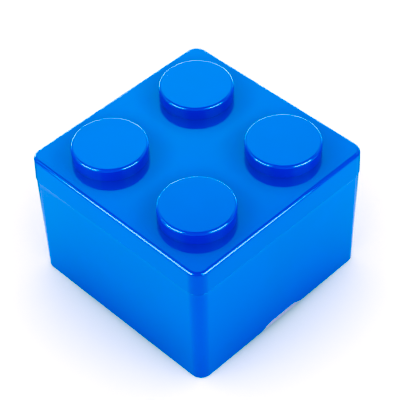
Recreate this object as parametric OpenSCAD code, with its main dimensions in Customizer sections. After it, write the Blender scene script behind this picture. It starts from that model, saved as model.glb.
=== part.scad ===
// Stackable storage brick: an open-topped bin and a lift-off lid with four
// round studs.  Both pieces are injection-moulded shells.  The lid's skirt
// drops over a stepped neck on the bin, so the two walls lie almost flush and
// meet at one thin line that runs all the way round.  Rings under the bin's
// raised floor take the studs of the brick below.
//
// Millimetres.  +Z is up.  The origin is the middle of the brick in the plane
// it stands on.  The front is -Y; the rim's two shallow notches are in the
// middle of the +X and -X sides.

/* [Brick] */
// Outside width and depth of the lid at its top
brick_w = 122.5; // [119:0.5:130]
// Height from the plane it stands on to the lid's flat top
brick_h = 80.8; // [60:0.2:120]
// Outside radius of the four upright corners
corner_r = 7.2; // [6:0.2:10]
// How far each side of the bin leans in from the shoulder to the foot
draft = 0.95; // [0.3:0.05:1.2]

/* [Lid] */
// Height of the lid from its flat top down to the skirt's lower edge
lid_h = 14.4; // [10:0.2:20]
// Thickness of the lid's flat plate
plate_t = 2.0; // [1.6:0.1:2.6]
// How far each side of the skirt leans out from the top to its lower edge
skirt_flare = 0.35; // [0:0.05:0.5]
// Thickness of the skirt at its lower edge
skirt_t = 1.65; // [1.4:0.05:1.8]
// Radius of the rounding along the lid's top edges
edge_r = 2.0; // [1.2:0.1:2.6]

/* [Studs] */
// Distance between the centres of neighbouring studs
stud_pitch = 62.5; // [60:0.5:64]
// Diameter of a stud
stud_d = 40; // [36:0.5:42]
// Height of a stud above the lid's flat top
stud_h = 7.5; // [5:0.1:9]
// Radius of the rounding round a stud's top
stud_edge_r = 1.5; // [0.6:0.1:1.9]
// Thickness of a stud's wall and of its top
stud_t = 2.0; // [1.4:0.1:2.4]

/* [Bin] */
// Thickness of the neck that the lid's skirt drops over
neck_t = 1.2; // [1:0.1:1.4]
// Gap all round between the neck and the skirt
neck_gap = 0.3; // [0.2:0.05:0.4]
// How far the bin's wall stands back from the lid's skirt
wall_step = 0.25; // [0.15:0.05:0.4]
// Open line left between the skirt and the bin's shoulder
parting_gap = 0.3; // [0.1:0.05:0.5]
// Thickness of the bin's floor
floor_t = 2.0; // [1.6:0.1:3]

/* [Foot] */
// Room left above the studs of the brick below
stack_gap = 0.3; // [0.3:0.1:1.5]
// Thickness of the foot rim
foot_t = 2.45; // [2:0.05:2.8]
// Gap all round between a ring and the stud inside it
ring_gap = 0.3; // [0.2:0.05:0.4]
// Thickness of a ring's wall
ring_t = 1.5; // [1.2:0.1:1.8]
// Height of a ring's lower edge above the plane the brick stands on
ring_z = 2.0; // [1:0.1:2.5]
// Width of a foot notch along the rim's edge
notch_w = 30; // [20:1:40]
// Width of a foot notch at its top
notch_top_w = 19; // [12:1:19]
// Height of a foot notch
notch_h = 2.6; // [1:0.1:3.4]

/* [Hidden] */
e = 0.05;
// All walls share the same four corner centres, so a wall that leans keeps
// conical corners, as a drafted moulding has.
c = brick_w / 2 - corner_r;
lid_z = brick_h - lid_h;              // lower edge of the skirt
shoulder_z = lid_z - parting_gap;     // the ledge under the skirt
neck_top_z = brick_h - plate_t;       // the lid's plate rests here
skirt_draft = 0.2;                    // inside of the skirt and outside of the neck
r_skirt = corner_r + skirt_flare;     // outside of the skirt at its lower edge
r_skirt_in = r_skirt - skirt_t;       // inside of the skirt there
r_neck = r_skirt_in - neck_gap;       // outside of the neck at that height
r_wall = r_skirt - wall_step;         // outside of the bin at the shoulder
r_foot = r_wall - draft;              // outside of the bin at the foot
r_mouth = r_neck - skirt_draft - neck_t; // inside of the bin at its mouth
r_floor = r_mouth - 0.45;             // inside of the bin at its floor
floor_under = stud_h + stack_gap;     // underside of the raised floor
floor_top = floor_under + floor_t;
foot_bevel = 0.6;
ring_r = stud_d / 2 + ring_gap;
ring_lead = 0.5;

// A square block with rounded upright corners.  Its sides lean: the corner
// radius is r1 at the bottom and r2 at the top.
module block(r1, r2, h) {
    for (a = [0, 90])
        rotate([90, 0, a])
            translate([0, 0, -c])
                linear_extrude(2 * c)
                    polygon([[-c - r1, 0], [c + r1, 0], [c + r2, h], [-c - r2, h]]);
    corners() cylinder(r1 = r1, r2 = r2, h = h, $fn = 64);
}

// Its children at the four corner centres
module corners() {
    for (x = [-1, 1], y = [-1, 1])
        translate([x * c, y * c, 0]) children();
}

// Its children at the four stud centres
module stud_places() {
    for (x = [-1, 1], y = [-1, 1])
        translate([x * stud_pitch / 2, y * stud_pitch / 2, 0]) children();
}

// Half outline of a wall of radius r and height h with a rounded top edge.
// Its side leans out by flare towards the bottom.
module soft_profile(r, edge, h, flare = 0) {
    polygon([[0, 0], [r + flare, 0], [r, h - edge], [0, h - edge]]);
    square([r - edge, h]);
    translate([r - edge, h - edge]) circle(r = edge, $fn = 32);
}

// A square block whose top edge is rounded all round and whose sides lean
module soft_block(r, edge, h, flare) {
    translate([-c, -c, 0]) cube([2 * c, 2 * c, h]);
    for (a = [0 : 90 : 270])
        rotate(a) {
            translate([c, c, 0])
                rotate([90, 0, 0])
                    linear_extrude(2 * c) soft_profile(r, edge, h, flare);
            translate([c, c, 0])
                rotate_extrude(angle = 90, $fn = 64) soft_profile(r, edge, h, flare);
        }
}

// A round stud with a rounded top edge, standing on z = 0
module stud() {
    translate([0, 0, -plate_t / 2])
        rotate_extrude($fn = 96)
            soft_profile(stud_d / 2, stud_edge_r, stud_h + plate_t / 2);
}

// Shallow trapezium cut through the foot rim
module foot_notch() {
    for (a = [0, 180])
        rotate(a)
            translate([c, 0, 0])
                rotate([90, 0, 90])
                    linear_extrude(corner_r + 5)
                        polygon([
                            [-notch_w / 2 - 0.5, -1], [notch_w / 2 + 0.5, -1],
                            [notch_w / 2, 0], [notch_top_w / 2, notch_h],
                            [-notch_top_w / 2, notch_h], [-notch_w / 2, 0]
                        ]);
}

// Ring under the floor that takes a stud of the brick below
module ring_wall() {
    translate([0, 0, ring_z])
        cylinder(r = ring_r + ring_t, h = floor_under - ring_z + e, $fn = 96);
}
module ring_bore() {
    translate([0, 0, ring_z - 1])
        cylinder(r = ring_r, h = floor_under - ring_z + 1, $fn = 96);
    translate([0, 0, ring_z - e])
        cylinder(r1 = ring_r + ring_lead + e, r2 = ring_r, h = ring_lead + e, $fn = 96);
}

module bin() {
    color("#0668e8")
    difference() {
        union() {
            difference() {
                union() {
                    // outer wall, with its lower edge bevelled
                    block(r_foot - foot_bevel, r_foot, foot_bevel);
                    translate([0, 0, foot_bevel])
                        block(r_foot, r_wall, shoulder_z - foot_bevel);
                    // stepped neck
                    translate([0, 0, shoulder_z - e])
                        block(r_neck, r_neck - skirt_draft, neck_top_z - shoulder_z + e);
                }
                // hollow under the raised floor
                translate([0, 0, -1])
                    block(r_foot - foot_t + 0.2, r_foot - foot_t, floor_under + 1);
            }
            stud_places() ring_wall();
        }
        // inside of the bin
        translate([0, 0, floor_top])
            block(r_floor, r_mouth, neck_top_z - floor_top + 1);
        stud_places() ring_bore();
        foot_notch();
    }
}

module lid() {
    color("#0668e8")
    difference() {
        union() {
            translate([0, 0, lid_z]) soft_block(corner_r, edge_r, lid_h, skirt_flare);
            translate([0, 0, brick_h]) stud_places() stud();
        }
        // inside of the skirt
        translate([0, 0, lid_z - 1])
            block(r_skirt_in + skirt_draft / (lid_h - plate_t), r_skirt_in - skirt_draft, lid_h - plate_t + 1);
        // the studs are hollow from below
        translate([0, 0, neck_top_z - 1])
            stud_places() cylinder(r = stud_d / 2 - stud_t, h = plate_t + stud_h - stud_t + 1, $fn = 96);
    }
}

bin();
lid();
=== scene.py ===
"""Stackable storage brick, an open-topped bin with a lift-off studded lid.

Both pieces are built here as full moulded shells, inside and out, with the
small roundings, fillets and mould marks that the exact CAD solids leave off.
All lengths in the building code are millimetres; meshes are written in metres.
"""

import math

import bpy
from mathutils import Matrix, Vector
from mathutils.geometry import delaunay_2d_cdt


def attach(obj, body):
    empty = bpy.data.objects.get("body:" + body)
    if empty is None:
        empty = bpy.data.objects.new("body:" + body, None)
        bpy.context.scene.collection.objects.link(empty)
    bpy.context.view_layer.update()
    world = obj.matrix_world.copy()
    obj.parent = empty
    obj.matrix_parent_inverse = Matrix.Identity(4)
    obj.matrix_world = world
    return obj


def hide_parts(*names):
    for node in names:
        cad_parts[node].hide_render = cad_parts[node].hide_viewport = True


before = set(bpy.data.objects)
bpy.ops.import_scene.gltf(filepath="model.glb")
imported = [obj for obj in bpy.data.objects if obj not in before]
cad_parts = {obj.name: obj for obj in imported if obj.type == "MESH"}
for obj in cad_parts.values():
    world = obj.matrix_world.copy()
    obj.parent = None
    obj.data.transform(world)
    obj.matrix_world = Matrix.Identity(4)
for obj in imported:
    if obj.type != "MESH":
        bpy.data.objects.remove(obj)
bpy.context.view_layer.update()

MM = 0.001
C = 54.05          # corner centres shared by every wall
PITCH = 31.25      # stud and ring centres, from the middle
TOP = 80.8         # flat top of the lid
CROWN = 88.3       # flat top of the studs
PLATE = 78.8       # underside of the lid's plate
LID_EDGE = 66.4    # lower edge of the lid's skirt
SHOULDER = 66.1    # ledge round the bin
FLOOR = 9.8        # inside floor of the bin
CEILING = 7.8      # underside of that floor
STUDS = [(sx * PITCH, sy * PITCH) for sx, sy in ((-1, -1), (1, -1), (1, 1), (-1, 1))]


# ---------------------------------------------------------------- mesh tools

class Shell:
    """Vertices, faces and exact corner normals of one closed moulding."""

    def __init__(self):
        self.verts, self.faces, self.normals = [], [], []

    def vert(self, x, y, z):
        self.verts.append((x, y, z))
        return len(self.verts) - 1

    def face(self, ids, normals):
        pts = [Vector(self.verts[i]) for i in ids]
        turn = Vector((0, 0, 0))
        for i in range(len(pts)):
            turn += (pts[i] - pts[0]).cross(pts[(i + 1) % len(pts)] - pts[0])
        mean = Vector((0, 0, 0))
        for n in normals:
            mean += Vector(n)
        if turn.dot(mean) < 0:
            ids, normals = ids[::-1], normals[::-1]
        self.faces.append(tuple(ids))
        self.normals.extend(normals)

    def sweep(self, stations, runs, first=None, last=None, lift=None):
        """Carry a profile round the stations. Returns the first and last rings.

        A run is one smooth stretch of (r, z, nr, nz); the next run starts where
        it ends, and the edge between them is sharp. lift(station, r, z) may
        move a point along its own wall.
        """
        total = len(runs[0]) + sum(len(run) - 1 for run in runs[1:])
        rings, at = [], 0
        points = list(runs[0]) + [p for run in runs[1:] for p in run[1:]]
        for k, (r, z, _, _) in enumerate(points):
            if k == 0 and first is not None:
                rings.append(first)
                continue
            if k == total - 1 and last is not None:
                rings.append(last)
                continue
            ring = []
            for s in stations:
                rr, zz = lift(s, r, z) if lift else (r, z)
                ring.append(self.vert(s[0] + rr * s[2], s[1] + rr * s[3], zz))
            rings.append(ring)
        count = len(stations)
        for run in runs:
            for j in range(len(run) - 1):
                a, b = rings[at + j], rings[at + j + 1]
                na, nb = run[j][2:], run[j + 1][2:]
                for i in range(count):
                    k = (i + 1) % count
                    si, sk = stations[i], stations[k]
                    self.face(
                        [a[i], a[k], b[k], b[i]],
                        [
                            (na[0] * si[2], na[0] * si[3], na[1]),
                            (na[0] * sk[2], na[0] * sk[3], na[1]),
                            (nb[0] * sk[2], nb[0] * sk[3], nb[1]),
                            (nb[0] * si[2], nb[0] * si[3], nb[1]),
                        ],
                    )
            at += len(run) - 1
        return rings[0], rings[-1]

    def cap(self, outer, holes, up):
        """Fill a flat region between rings of vertices."""
        loops = [outer] + list(holes)
        ids = [i for loop in loops for i in loop]
        flat = [Vector(self.verts[i][:2]) for i in ids]
        edges, start = [], 0
        for loop in loops:
            n = len(loop)
            edges += [(start + i, start + (i + 1) % n) for i in range(n)]
            start += n
        _, _, faces, origin, _, _ = delaunay_2d_cdt(flat, edges, [], 4 if holes else 1, 1e-6)
        for f in faces:
            self.face([ids[origin[i][0]] for i in f], [(0.0, 0.0, up)] * len(f))

    def object(self, name):
        mesh = bpy.data.meshes.new(name)
        mesh.from_pydata([(x * MM, y * MM, z * MM) for x, y, z in self.verts], [], self.faces)
        mesh.polygons.foreach_set("use_smooth", [True] * len(self.faces))
        normals = [Vector(n).normalized() for n in self.normals]
        # an edge is sharp where the normals of its two faces differ
        sides = {}
        for poly in mesh.polygons:
            loops = list(poly.loop_indices)
            for a, b in zip(loops, loops[1:] + loops[:1]):
                ends = {mesh.loops[a].vertex_index: normals[a], mesh.loops[b].vertex_index: normals[b]}
                sides.setdefault(mesh.loops[a].edge_index, []).append(ends)
        for edge, pair in sides.items():
            if any(pair[0][v].dot(pair[-1][v]) < 0.9995 for v in pair[0]):
                mesh.edges[edge].use_edge_sharp = True
        mesh.normals_split_custom_set(normals)
        obj = bpy.data.objects.new(name, mesh)
        bpy.context.scene.collection.objects.link(obj)
        return obj


def circle(x, y, count):
    return [
        (x, y, math.cos(2 * math.pi * i / count), math.sin(2 * math.pi * i / count))
        for i in range(count)
    ]


def square(side_x, side_y, arc):
    """Stations round the brick: (base x, base y, direction x, direction y)."""
    out = []
    for quarter in range(4):
        cs, sn = ((1, 0), (0, 1), (-1, 0), (0, -1))[quarter]
        ts = side_x if quarter % 2 == 0 else side_y
        for t in ts:
            out.append((C * cs - t * sn, C * sn + t * cs, cs, sn))
        cx, cy = C * (cs - sn), C * (sn + cs)
        for k in range(arc + 1):
            a = math.radians(90 * quarter + 90 * k / arc)
            out.append((cx, cy, math.cos(a), math.sin(a)))
    return out


def wall(r1, z1, r2, z2, side, steps=1):
    """A straight stretch of profile; side is +1 where solid lies towards smaller r."""
    length = math.hypot(r2 - r1, z2 - z1)
    nr, nz = side * abs(z2 - z1) / length, 0.0
    nz = -nr * (r2 - r1) / (z2 - z1) if z2 != z1 else side
    return [
        (r1 + (r2 - r1) * k / steps, z1 + (z2 - z1) * k / steps, nr, nz)
        for k in range(steps + 1)
    ]


def arc(cr, cz, radius, a1, a2, steps, sign=1):
    """A rounding about (cr, cz); sign -1 makes it a fillet, hollow side out."""
    out = []
    for k in range(steps + 1):
        a = math.radians(a1 + (a2 - a1) * k / steps)
        out.append((cr + radius * math.cos(a), cz + radius * math.sin(a),
                    sign * math.cos(a), sign * math.sin(a)))
    return out


def flat(r1, r2, z, up):
    return [(r1, z, 0.0, up), (r2, z, 0.0, up)]


def join(*runs):
    """Chain stretches that meet smoothly into one run."""
    out = list(runs[0])
    for run in runs[1:]:
        out += run[1:]
    return out


# ---------------------------------------------------------------- the lid

def build_lid():
    s = Shell()
    sides = [t for t in (-40, -20, 0, 20, 40)]
    st = square(sides, sides, 24)
    edge = 0.15
    flare = 0.35                    # the skirt leans out this far
    lean = math.degrees(math.atan2(flare, TOP - 2.0 - LID_EDGE))
    outer = [
        # skirt: inside wall, lower edge, outside wall, top rounding
        join(
            flat(6.1, 7.2 + flare - 0.005 - edge, LID_EDGE, -1),
            arc(7.2 + flare - 0.005 - edge, LID_EDGE + edge, edge, -90, lean, 6),
            wall(7.2 + flare - 0.005, LID_EDGE + edge, 7.2, TOP - 2.0, 1, 2),
            arc(5.2, TOP - 2.0, 2.0, lean, 90, 16),
        ),
    ]
    low, top = s.sweep(st, outer)
    holes = []
    for x, y in STUDS:
        ring = circle(x, y, 144)
        runs = [join(
            wall(20, TOP, 20, CROWN - 1.5, 1, 3),
            arc(20 - 1.5, CROWN - 1.5, 1.5, 0, 90, 16),
        )]
        base, crown = s.sweep(ring, runs)
        holes.append(base)
        s.cap(crown, [], 1)
    s.cap(top, holes, 1)
    # underside
    root = 0.3
    inner = [join(
        arc(6.1, LID_EDGE + 0.2, 0.2, -90, -180, 4),
        wall(5.9, LID_EDGE + 0.2, 5.7, PLATE - root, -1, 2),
        arc(5.7 - root, PLATE - root, root, 0, 90, 5, -1),
    )]
    _, under = s.sweep(st, inner, first=low)
    holes = []
    for x, y in STUDS:
        ring = circle(x, y, 96)
        runs = [join(
            arc(18.4, PLATE + 0.4, 0.4, -90, -180, 4),
            wall(18.0, PLATE + 0.4, 18.0, CROWN - 2.8, -1, 2),
            arc(17.2, CROWN - 2.8, 0.8, 0, 90, 6, -1),
        )]
        mouth, roof = s.sweep(ring, runs)
        holes.append(mouth)
        s.cap(roof, [], -1)
    # gate mark: a shallow well with the sheared-off gate in it
    gate = circle(0, 0, 48)
    runs = [join(
        arc(3.3, PLATE + 0.3, 0.3, -90, -180, 3),
        wall(3.0, PLATE + 0.3, 3.0, PLATE + 0.35, -1),
        arc(2.85, PLATE + 0.35, 0.15, 0, 90, 3, -1),
    ), flat(2.85, 0.9, PLATE + 0.5, -1), wall(0.9, PLATE + 0.5, 0.8, PLATE + 0.15, 1)]
    well, nub = s.sweep(gate, runs)
    s.cap(nub, [], -1)
    holes.append(well)
    s.cap(under, holes, -1)
    return s.object("lid_shell")


# ---------------------------------------------------------------- the bin

def notch_samples():
    """(place along the side, height) of the foot notch, corners eased."""
    corners = [(-15.0, 0.0), (-9.5, 2.6), (9.5, 2.6), (15.0, 0.0)]
    before = [(-22.0, 0.0)] + corners[:-1]
    after = corners[1:] + [(22.0, 0.0)]
    out = [(-30.0, 0.0), (-22.0, 0.0)]
    for p, q, n in zip(before, corners, after):
        lq, ln = math.dist(p, q), math.dist(q, n)
        ease = 0.9
        a = (q[0] + (p[0] - q[0]) * ease / lq, q[1] + (p[1] - q[1]) * ease / lq)
        b = (q[0] + (n[0] - q[0]) * ease / ln, q[1] + (n[1] - q[1]) * ease / ln)
        for k in range(7):
            t = k / 6
            out.append(tuple(
                (1 - t) ** 2 * a[i] + 2 * t * (1 - t) * q[i] + t * t * b[i] for i in (0, 1)
            ))
    return out + [(22.0, 0.0), (30.0, 0.0)]


def build_bin():
    s = Shell()
    notch = notch_samples()
    height = {round(y, 4): z for y, z in notch}
    st = square([y for y, _ in notch], [-30, -10, 10, 30], 24)
    slope_out = 0.95 / 65.5         # outer wall, mm of r per mm of height
    slope_in = -0.2 / 8.8           # inner face of the foot rim

    def lift(station, r, z):
        if z > 0.61 or abs(station[2]) < 0.999:
            return r, z
        up = height.get(round(station[1], 4), 0.0)
        return r + up * (slope_out if r > 5 else slope_in), z + up

    def r_out(z):
        return 6.35 + slope_out * (z - 0.6)

    foot = 0.5
    n_out = (1.0, -slope_out)
    edge = 0.15
    top_r = r_out(SHOULDER)
    runs = [
        # foot rim, outer wall, shoulder
        join(
            flat(4.30, r_out(0.5) - foot, 0.0, -1),
            [(r_out(0.5) - foot + foot * math.sin(a), foot - foot * math.cos(a),
              math.sin(a), -math.cos(a)) for a in [math.radians(15 * k) for k in range(7)]],
            [(r_out(0.5), 0.5, *n_out), (r_out(5.0), 5.0, *n_out),
             (r_out(36.0), 36.0, *n_out),
             # under the shoulder the wall swells out a little
             (r_out(62.6) - 0.097, 62.6, 1.0, -0.012),
             (top_r - 0.101, SHOULDER - edge - 1.67, 1.0, -0.0435),
             (top_r - 0.002, SHOULDER - edge, 1.0, -0.075)],
            arc(top_r - edge, SHOULDER - edge, edge, 0, 90, 6),
            [(top_r - edge, SHOULDER, 0.0, 1.0), (5.8, SHOULDER, 0.0, 1.0)],
            # root of the neck, the neck, its lip
            arc(5.8, SHOULDER + 0.2, 0.2, -90, -180, 4, -1),
            wall(5.6, SHOULDER + 0.2, 5.405, PLATE - 0.4, 1, 2),
            arc(5.0, PLATE - 0.4, 0.4, 0, 90, 5),
            flat(5.0, 4.59, PLATE, 1),
            arc(4.59, PLATE - 0.4, 0.4, 90, 180, 5),
            wall(4.19, PLATE - 0.4, 3.757, FLOOR + 1.0, -1, 3),
            arc(2.757, FLOOR + 1.0, 1.0, 0, -90, 8, -1),
        ),
    ]
    rim, inside = s.sweep(st, runs, lift=lift)
    # inside floor, with the faint witness rings of four ejector pins
    holes = []
    for x in (-38, 38):
        for y in (-38, 38):
            runs = [
                wall(4.0, FLOOR, 3.95, FLOOR - 0.12, -1),
                flat(3.95, 3.6, FLOOR - 0.12, 1),
                wall(3.6, FLOOR - 0.12, 3.55, FLOOR - 0.02, 1),
            ]
            pin, disc = s.sweep(circle(x, y, 40), runs)
            s.cap(disc, [], 1)
            holes.append(pin)
    s.cap(inside, holes, 1)
    # hollow foot under the floor
    runs = [join(
        arc(4.30, 0.22, 0.22, -90, -180, 3),
        [(4.08, 0.22, -1.0, 0.02), (3.95, 5.0, -1.0, 0.02), (3.905, CEILING - 0.6, -1.0, 0.0)],
        arc(3.305, CEILING - 0.6, 0.6, 0, 90, 5, -1),
    )]
    _, ceiling = s.sweep(st, runs, first=rim, lift=lift)
    holes = []
    for x, y in STUDS:
        ring = circle(x, y, 120)
        runs = [
            join(
                arc(21.8 + 0.4, CEILING - 0.4, 0.4, 90, 180, 4, -1),
                wall(21.8, CEILING - 0.4, 21.8, 2.3, 1, 2),
                arc(21.5, 2.3, 0.3, 0, -90, 4),
                flat(21.5, 21.0, 2.0, -1),
                [(21.0, 2.0, -0.2, -0.98), (20.85, 2.05, -0.55, -0.83), (20.55, 2.3, -0.8, -0.6),
                 (20.3, 2.6, -0.97, -0.24), (20.3, 2.9, -1.0, 0.0)],
                wall(20.3, 2.9, 20.3, CEILING - 0.4, -1, 2),
                arc(19.9, CEILING - 0.4, 0.4, 0, 90, 4, -1),
            ),
        ]
        outside, within = s.sweep(ring, runs)
        holes.append(outside)
        s.cap(within, [], -1)
    gate = circle(0, 0, 48)
    runs = [join(
        arc(3.3, CEILING + 0.3, 0.3, -90, -180, 3),
        wall(3.0, CEILING + 0.3, 3.0, CEILING + 0.35, -1),
        arc(2.85, CEILING + 0.35, 0.15, 0, 90, 3, -1),
    ), flat(2.85, 0.9, CEILING + 0.5, -1), wall(0.9, CEILING + 0.5, 0.8, CEILING + 0.15, 1)]
    well, nub = s.sweep(gate, runs)
    s.cap(nub, [], -1)
    holes.append(well)
    s.cap(ceiling, holes, -1)
    return s.object("bin_shell")


# ---------------------------------------------------------------- material

class Nodes:
    """A few short calls for wiring a node tree."""

    def __init__(self, tree):
        self.tree = tree
        tree.nodes.clear()

    def add(self, kind, _values=None, **settings):
        n = self.tree.nodes.new(kind)
        for k, v in settings.items():
            setattr(n, k, v)
        for k, v in (_values or {}).items():
            if isinstance(v, bpy.types.NodeSocket):
                self.tree.links.new(v, n.inputs[k])
            else:
                n.inputs[k].default_value = v
        return n

    def math(self, op, a, b=None, clamp=False):
        n = self.add("ShaderNodeMath", operation=op, use_clamp=clamp)
        for i, v in enumerate((a, b)):
            if v is None:
                continue
            if isinstance(v, bpy.types.NodeSocket):
                self.tree.links.new(v, n.inputs[i])
            else:
                n.inputs[i].default_value = v
        return n.outputs[0]

    def ramp(self, value, lo, hi, out_lo=0.0, out_hi=1.0, smooth=True):
        n = self.add(
            "ShaderNodeMapRange",
            {"Value": value, "From Min": lo, "From Max": hi, "To Min": out_lo, "To Max": out_hi},
            interpolation_type="SMOOTHSTEP" if smooth else "LINEAR",
        )
        return n.outputs[0]

    def mix(self, factor, a, b):
        n = self.add("ShaderNodeMix", data_type="RGBA")
        for socket, v in ((n.inputs[0], factor), (n.inputs[6], a), (n.inputs[7], b)):
            if isinstance(v, bpy.types.NodeSocket):
                self.tree.links.new(v, socket)
            else:
                socket.default_value = v
        return n.outputs[2]


def link(n, shader, socket):
    n.tree.links.new(shader.outputs[0], socket)


def dot(n, a, b):
    return n.add("ShaderNodeVectorMath", {0: a, 1: b}, operation="DOT_PRODUCT").outputs["Value"]


def scaled(n, colour, level):
    return n.add("ShaderNodeVectorMath", {0: colour, "Scale": level}, operation="SCALE").outputs[0]


BLUE = (0.0, 0.0225, 0.60, 1.0)
BLUE_DEEP = (0.0, 0.0195, 0.57, 1.0)
DUST = (0.04, 0.14, 0.70, 1.0)


def plastic(name, shift, studs=False):
    """Glossy blue moulded plastic: faint flow marks, orange peel, hairlines, dust.

    With studs, the polish is softer round the foot of each stud, where the mould's polisher
    doesn't reach, and the colour there is a little deeper as painted shade.
    """
    mat = bpy.data.materials.new(name)
    mat.use_nodes = True
    n = Nodes(mat.node_tree)
    coord = n.add("ShaderNodeTexCoord").outputs["Object"]
    place = n.add("ShaderNodeMapping", {"Vector": coord, "Location": (shift, shift * 0.7, shift * 0.3)}).outputs[0]
    flow = n.add("ShaderNodeTexNoise", {"Vector": place, "Scale": 22.0, "Detail": 3.0, "Roughness": 0.55}).outputs[0]
    # dust: a few small specks, one cell in thirty
    cells = n.add("ShaderNodeTexVoronoi", {"Vector": place, "Scale": 170.0, "Randomness": 1.0})
    pick = n.add("ShaderNodeSeparateColor", {"Color": cells.outputs["Color"]}).outputs[0]
    rare = n.ramp(pick, 0.965, 0.972, smooth=False)
    speck = n.math("MULTIPLY", n.ramp(cells.outputs["Distance"], 0.055, 0.025), rare)
    # hairlines: thin edges of two stretched cell patterns, broken up by noise
    lines = []
    for turn, scale in ((0.5, 36.0), (-0.9, 28.0)):
        slanted = n.add("ShaderNodeMapping", {"Vector": place, "Rotation": (0.3, 0.2, turn), "Scale": (1.0, 0.12, 0.5)}).outputs[0]
        web = n.add("ShaderNodeTexVoronoi", {"Vector": slanted, "Scale": scale}, feature="DISTANCE_TO_EDGE").outputs["Distance"]
        lines.append(n.ramp(web, 0.006, 0.001))
    gaps = n.add("ShaderNodeTexNoise", {"Vector": place, "Scale": 60.0, "Detail": 2.0}).outputs[0]
    hair = n.math("MULTIPLY", n.math("MAXIMUM", *lines), n.ramp(gaps, 0.56, 0.68))
    # colour: very slightly deeper and lighter along the flow of the melt
    tone = n.mix(n.ramp(flow, 0.35, 0.65), BLUE_DEEP, BLUE)
    tone = n.mix(n.math("MULTIPLY", speck, 0.75), tone, DUST)
    # roughness: polished mould, duller in the hairlines, specks and handled patches
    handled = n.add("ShaderNodeTexNoise", {"Vector": place, "Scale": 35.0, "Detail": 4.0, "Roughness": 0.6}).outputs[0]
    rough = n.ramp(handled, 0.35, 0.75, 0.055, 0.10)
    rough = n.math("ADD", rough, n.math("MULTIPLY", hair, 0.08))
    rough = n.math("ADD", rough, n.math("MULTIPLY", speck, 0.3), clamp=True)
    if studs:
        # distance from the nearest stud's middle: fold all four onto one
        folded = n.add("ShaderNodeVectorMath", {0: coord}, operation="ABSOLUTE").outputs[0]
        apart = n.add("ShaderNodeVectorMath", {0: folded, 1: (PITCH * MM, PITCH * MM, TOP * MM)}, operation="SUBTRACT").outputs[0]
        across = n.add("ShaderNodeVectorMath", {0: apart, 1: (1.0, 1.0, 0.0)}, operation="MULTIPLY").outputs[0]
        away = n.add("ShaderNodeVectorMath", {0: across}, operation="LENGTH").outputs["Value"]
        level = n.add("ShaderNodeSeparateXYZ", {"Vector": apart}).outputs["Z"]
        on_plate = n.ramp(n.math("ABSOLUTE", level), 0.0004, 0.0002)
        halo = n.ramp(away, 0.036, 0.022)
        halo = n.math("MULTIPLY", halo, on_plate)
        # painted shade: the colour is darkened by up to 15 % round the foot of each stud
        painted_foot_shade = n.math("MULTIPLY", n.ramp(away, 0.036, 0.020), on_plate)
        tone = scaled(n, tone, n.math("SUBTRACT", 1.0, n.math("MULTIPLY", painted_foot_shade, 0.15)))
    # relief: orange peel, hairlines, specks
    peel = n.add("ShaderNodeTexNoise", {"Vector": place, "Scale": 420.0, "Detail": 2.0}).outputs[0]
    relief = n.math("SUBTRACT", n.math("MULTIPLY", peel, 0.02), n.math("MULTIPLY", hair, 0.10))
    relief = n.math("ADD", relief, n.math("MULTIPLY", speck, 0.4))
    bump = n.add("ShaderNodeBump", {"Height": relief, "Strength": 1.0, "Distance": 0.00004}).outputs[0]
    shader = n.add("ShaderNodeBsdfPrincipled", {
        "Base Color": tone, "Roughness": rough, "Normal": bump,
        "IOR": 1.5,
    })
    if studs:
        dull = n.add("ShaderNodeBsdfPrincipled", {
            "Base Color": tone, "Roughness": n.math("ADD", rough, 0.30, clamp=True), "Normal": bump,
            "IOR": 1.5,
        })
        both = n.add("ShaderNodeMixShader", {"Fac": n.math("MULTIPLY", halo, 0.5)})
        n.tree.links.new(shader.outputs[0], both.inputs[1])
        n.tree.links.new(dull.outputs[0], both.inputs[2])
        shader = both
    out = n.add("ShaderNodeOutputMaterial")
    n.tree.links.new(shader.outputs[0], out.inputs[0])
    return mat


# ---------------------------------------------------------------- pieces

lid = build_lid()
lid.data.materials.append(plastic("lid_plastic", 0.0, studs=True))
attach(lid, "lid_body")
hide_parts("lid")

bin_ = build_bin()
bin_.data.materials.append(plastic("bin_plastic", 0.37))
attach(bin_, "bin_body")
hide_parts("bin")


# ---------------------------------------------------------------- camera

AZ, EL, ROLL = math.radians(46.189), math.radians(43.962), math.radians(-2.006)
back = Vector((math.sin(AZ) * math.cos(EL), -math.cos(AZ) * math.cos(EL), math.sin(EL)))
right = Vector((math.cos(AZ), math.sin(AZ), 0.0))
up = back.cross(right)
aim = Matrix.Rotation(-0.001006, 3, up) @ Matrix.Rotation(-0.0319845, 3, right)
r1, u1, b1 = aim @ right, aim @ up, aim @ back
r2 = math.cos(ROLL) * r1 + math.sin(ROLL) * u1
u2 = -math.sin(ROLL) * r1 + math.cos(ROLL) * u1
cam_data = bpy.data.cameras.new("camera")
cam_data.sensor_width = 36.0
cam_data.lens = 134.864
cam_data.clip_start, cam_data.clip_end = 0.01, 50.0
cam = bpy.data.objects.new("camera", cam_data)
bpy.context.scene.collection.objects.link(cam)
spot = Vector((0, 0, TOP * MM)) + back * 0.76735
cam.matrix_world = Matrix((
    (r2.x, u2.x, b1.x, spot.x),
    (r2.y, u2.y, b1.y, spot.y),
    (r2.z, u2.z, b1.z, spot.z),
    (0, 0, 0, 1),
))
bpy.context.scene.camera = cam


# ---------------------------------------------------------------- stage and light

EXPOSURE = 1.27             # the set is lit a little brighter than white
TOWARD = Vector((math.sin(AZ), -math.cos(AZ), 0.0))   # from the brick to the front of the set
ACROSS = Vector((math.cos(AZ), math.sin(AZ), 0.0))    # to the right of the set
ROOM = (1.0, 1.0, 1.05)     # the room as the gloss shows it


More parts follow.
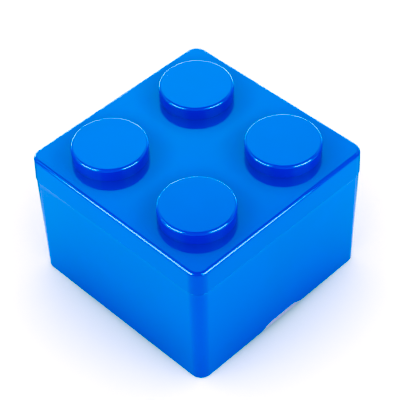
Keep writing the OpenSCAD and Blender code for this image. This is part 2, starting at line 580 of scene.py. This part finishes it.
def make_floor():
    size = 6.0
    mesh = bpy.data.meshes.new("floor")
    z = -0.0002
    mesh.from_pydata(
        [(-size, -size, z), (size, -size, z), (size, size, z), (-size, size, z)], [], [(0, 1, 2, 3)]
    )
    obj = bpy.data.objects.new("floor", mesh)
    bpy.context.scene.collection.objects.link(obj)
    mat = bpy.data.materials.new("floor_paper")
    mat.use_nodes = True
    mat.cycles.emission_sampling = "NONE"
    n = Nodes(mat.node_tree)
    light = n.add("ShaderNodeLightPath")
    place = n.add("ShaderNodeNewGeometry").outputs["Position"]
    folded = n.add("ShaderNodeVectorMath", {0: place}, operation="ABSOLUTE").outputs[0]
    xyz = n.add("ShaderNodeSeparateXYZ", {"Vector": folded})
    fourths = n.math("ADD", n.math("POWER", xyz.outputs["X"], 4.0), n.math("POWER", xyz.outputs["Y"], 4.0))
    reach = n.math("POWER", fourths, 0.25)
    # painted contact shadow: the paper's colour is darkened and tinted next to the brick's foot, more on the right
    close = n.math("EXPONENT", n.math("MULTIPLY", n.math("ABSOLUTE", n.math("SUBTRACT", reach, 0.0604)), -1.0 / 0.0026))
    painted_contact_shade = n.math("MULTIPLY", close, n.ramp(dot(n, place, ACROSS), -0.03, 0.04, 0.26, 0.38))
    tint = n.mix(painted_contact_shade, (0.98, 0.962, 0.933, 1.0), (0.12, 0.0, 0.12, 1.0))
    paper = n.add("ShaderNodeBsdfDiffuse", {"Color": tint})
    # painted light: the floor under the foot rim glows a little, lightening the shade in the notch
    painted_light_under_rim = n.add("ShaderNodeEmission", {
        "Color": scaled(n, (0.15, 0.04, 0.20), n.ramp(reach, 0.0608, 0.0596)), "Strength": 1.0})
    lit = n.add("ShaderNodeAddShader")
    link(n, paper, lit.inputs[0])
    link(n, painted_light_under_rim, lit.inputs[1])
    # as the gloss sees it the floor is a painted glow: dimmer close to the brick as painted shade, and a little towards
    # the front
    fall = n.math("EXPONENT", n.math("MULTIPLY", n.math("SUBTRACT", n.math("MAXIMUM", reach, 0.062), 0.064), -1.0 / 0.028))
    level = n.math("SUBTRACT", 2.15, n.math("MULTIPLY", fall, 1.43))
    toward = dot(n, place, TOWARD)
    level = n.math("MULTIPLY", level, n.ramp(toward, 0.080, 0.15, 1.0, 0.76, smooth=False))
    near = scaled(n, ROOM, level)
    # behind the brick, where the gloss meets it at a grazing angle, the painted glow is dim and blue-green
    seen = n.mix(n.ramp(toward, -0.01, -0.05), near, (0.34, 0.52, 0.50, 1.0))
    mirrored = n.add("ShaderNodeEmission", {"Color": seen, "Strength": 1.0})
    one = n.add("ShaderNodeMixShader", {"Fac": light.outputs["Is Glossy Ray"]})
    link(n, lit, one.inputs[1])
    link(n, mirrored, one.inputs[2])
    # the floor can't be seen from below
    clear = n.add("ShaderNodeBsdfTransparent")
    two = n.add("ShaderNodeMixShader", {"Fac": n.add("ShaderNodeNewGeometry").outputs["Backfacing"]})
    link(n, one, two.inputs[1])
    link(n, clear, two.inputs[2])
    link(n, two, n.add("ShaderNodeOutputMaterial").inputs[0])
    mesh.materials.append(mat)


def make_world():
    world = bpy.data.worlds.new("studio")
    bpy.context.scene.world = world
    world.use_nodes = True
    world.cycles.sampling_method = "NONE"
    n = Nodes(world.node_tree)
    light = n.add("ShaderNodeLightPath")
    way = n.add("ShaderNodeTexCoord").outputs["Generated"]
    z = n.add("ShaderNodeSeparateXYZ", {"Vector": way}).outputs["Z"]
    toward = dot(n, way, TOWARD)
    across = n.math("ABSOLUTE", n.math("ADD", dot(n, way, ACROSS), 0.035))
    # what the gloss sees: a bright panel low behind, dim overhead and at the front
    low = n.math("MULTIPLY", n.ramp(z, 0.82, 0.68), n.ramp(z, 0.38, 0.54))
    behind = n.ramp(toward, 0.0, -0.35)
    middle = n.ramp(across, 0.34, 0.0, 0.45, 1.0)
    panel = n.math("MULTIPLY", n.math("MULTIPLY", low, behind), middle)
    haze = n.ramp(z, 0.95, 0.75, 0.5, 0.8)
    level = n.math("ADD", haze, n.math("MULTIPLY", panel, 3.3))
    # and a white band along the horizon behind
    band = n.math("MULTIPLY", n.ramp(z, 0.16, 0.08), n.ramp(toward, -0.55, -0.80))
    seen = n.mix(band, scaled(n, ROOM, level), (19.0, 26.5, 26.5, 1.0))
    gloss = n.add("ShaderNodeBackground", {"Color": seen, "Strength": 1.0})
    soft = n.add("ShaderNodeBackground", {"Color": (1, 1, 1, 1), "Strength": 0.92 * EXPOSURE})
    plain = n.add("ShaderNodeBackground", {"Color": (1, 1, 1, 1), "Strength": 1.0})
    one = n.add("ShaderNodeMixShader", {"Fac": light.outputs["Is Glossy Ray"]})
    link(n, soft, one.inputs[1])
    link(n, gloss, one.inputs[2])
    two = n.add("ShaderNodeMixShader", {"Fac": light.outputs["Is Camera Ray"]})
    link(n, one, two.inputs[1])
    link(n, plain, two.inputs[2])
    link(n, two, n.add("ShaderNodeOutputWorld").inputs[0])


def softbox(name, azimuth, elevation, distance, width, height, level, red, gloss):
    """A softbox facing the brick. Angles in degrees, azimuth from the front of the set.

    With gloss it shows only in reflections, without it only as soft light.
    """
    a, e = math.radians(azimuth), math.radians(elevation)
    flat_way = TOWARD * math.cos(a) + ACROSS * math.sin(a)
    way = flat_way * math.cos(e) + Vector((0, 0, math.sin(e)))
    data = bpy.data.lights.new(name, "AREA")
    data.shape = "RECTANGLE"
    data.size, data.size_y = width, height
    data.energy = level * math.pi * width * height
    data.color = (1.0, 1.0, 1.0)
    if gloss:
        # seen by way of a second surface it is a third as bright
        data.use_nodes = True
        n = Nodes(data.node_tree)
        deep = n.math("GREATER_THAN", n.add("ShaderNodeLightPath").outputs["Ray Depth"], 2.5)
        tint = n.mix(deep, (red, 1.0, 1.0, 1.0), (0.3 * red, 0.3, 0.3, 1.0))
        link(n, n.add("ShaderNodeEmission", {"Color": tint}), n.add("ShaderNodeOutputLight").inputs[0])
    obj = bpy.data.objects.new(name, data)
    bpy.context.scene.collection.objects.link(obj)
    at = way * distance + Vector((0, 0, 0.06))
    x = Vector((0, 0, 1)).cross(flat_way)
    y = way.cross(x)
    obj.matrix_world = Matrix((
        (x.x, y.x, way.x, at.x),
        (x.y, y.y, way.y, at.y),
        (x.z, y.z, way.z, at.z),
        (0, 0, 0, 1),
    ))
    obj.visible_camera = False
    obj.visible_transmission = False
    obj.visible_diffuse = not gloss
    obj.visible_glossy = gloss
    return obj


def lamp(name, azimuth, elevation, distance, size, share):
    """A soft lamp that adds its share of the light that falls on the floor."""
    e = math.radians(elevation)
    spread = size * size / distance ** 2          # solid angle, near enough
    level = share * EXPOSURE * math.pi / (spread * math.sin(e))
    return softbox(name, azimuth, elevation, distance, size, size, level, 1.0, False)


make_floor()
make_world()
softbox("panel_left", -60.2, 27, 0.84, 0.68, 0.64, 13.4, 0.76, True)
softbox("panel_right", 54, 27, 0.84, 0.68, 0.64, 13.4, 0.76, True)
softbox("strip_left", -96, 26, 0.80, 0.05, 0.50, 8.0, 0.85, True)
lamp("lamp_left", -63, 16, 0.9, 0.45, 0.026)
lamp("lamp_right", 59, 16, 0.9, 0.45, 0.03)

# The camera of the product picture cuts off the red under a deep blue, as its
# colour conversion clips a hue that lies outside the screen's range.
view = bpy.context.scene.view_settings
view.view_transform = "Standard"
view.use_curve_mapping = True
view.curve_mapping.black_level = (0.25, 0.0, 0.0)
view.curve_mapping.update()
